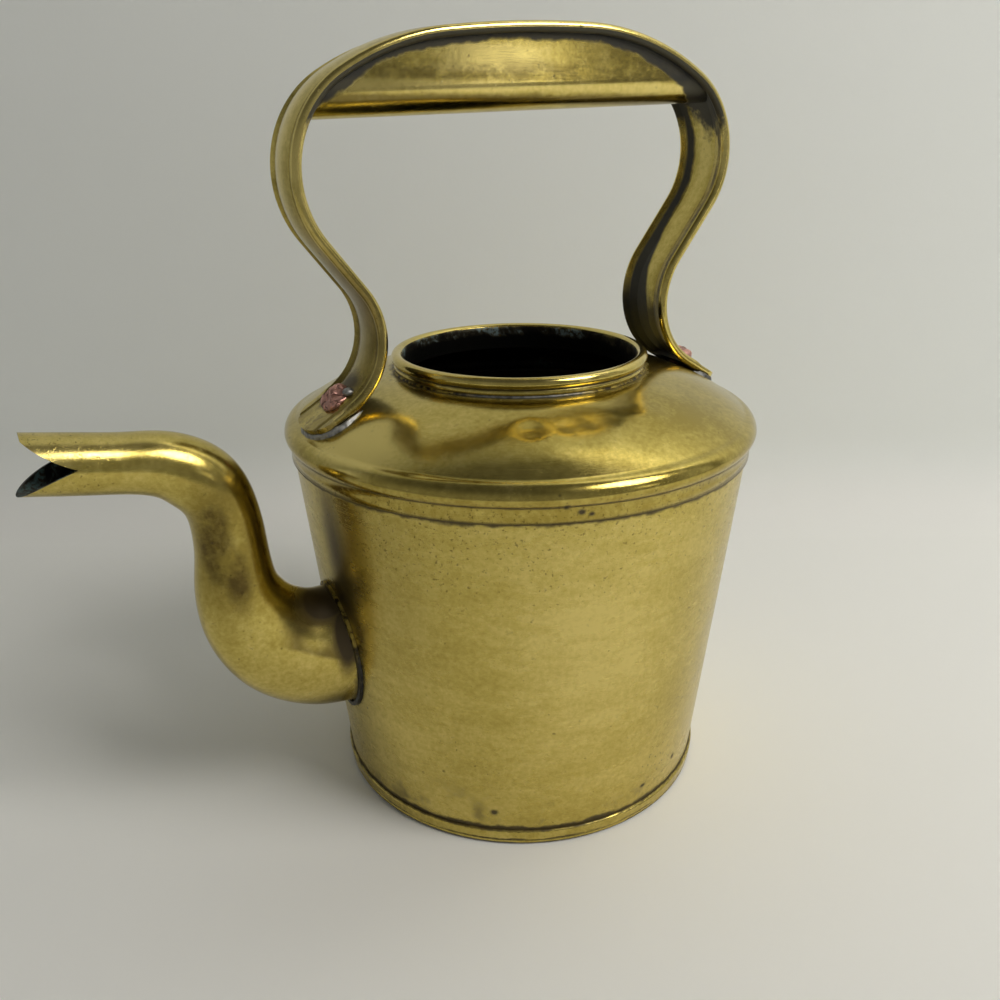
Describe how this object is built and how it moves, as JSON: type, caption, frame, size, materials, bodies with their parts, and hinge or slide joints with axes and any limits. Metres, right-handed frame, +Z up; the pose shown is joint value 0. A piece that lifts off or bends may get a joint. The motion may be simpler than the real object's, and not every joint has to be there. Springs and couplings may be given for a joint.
{
  "type": "victorian hot water can",
  "caption": "Aged sheet-brass hot water can with an open rolled neck, swan-neck pouring spout and riveted strap handle with a trough grip.",
  "frame": {"origin": "centre of the round base, on the surface the can stands on", "axes": "+Z up through the open neck, -X towards the spout, the handle arches over the neck along X"},
  "size_m": [0.249, 0.1678, 0.2632],
  "materials": {
    "barrel_brass": "satin, aged, mottled, dark in the seams",
    "shoulder_brass": "satin, aged, brighter on the bead",
    "neck_brass": "polished by use outside, black and verdigris inside",
    "spout_brass": "satin, brown patina on the undersides",
    "handle_brass": "satin, rubbed bright on the edge beads, dark in the grooves",
    "rivet_copper": "dull, hammered",
    "solder": "dull grey, lumpy",
    "iron_wire": "hidden in the roll"
  },
  "bodies": {
    "root": {"barrel": "barrel_brass", "base_plate": "barrel_brass", "base_solder": "solder", "shoulder": "shoulder_brass", "neck_collar": "neck_brass", "neck_wire": "iron_wire", "neck_solder": "solder", "spout": "spout_brass", "spout_solder": "solder", "handle_strap": "handle_brass", "grip_trough": "handle_brass", "front_rivet": "rivet_copper", "back_rivet": "rivet_copper", "front_burr": "rivet_copper", "back_burr": "rivet_copper", "front_foot_solder": "solder", "back_foot_solder": "solder"}
  },
  "joints": []
}
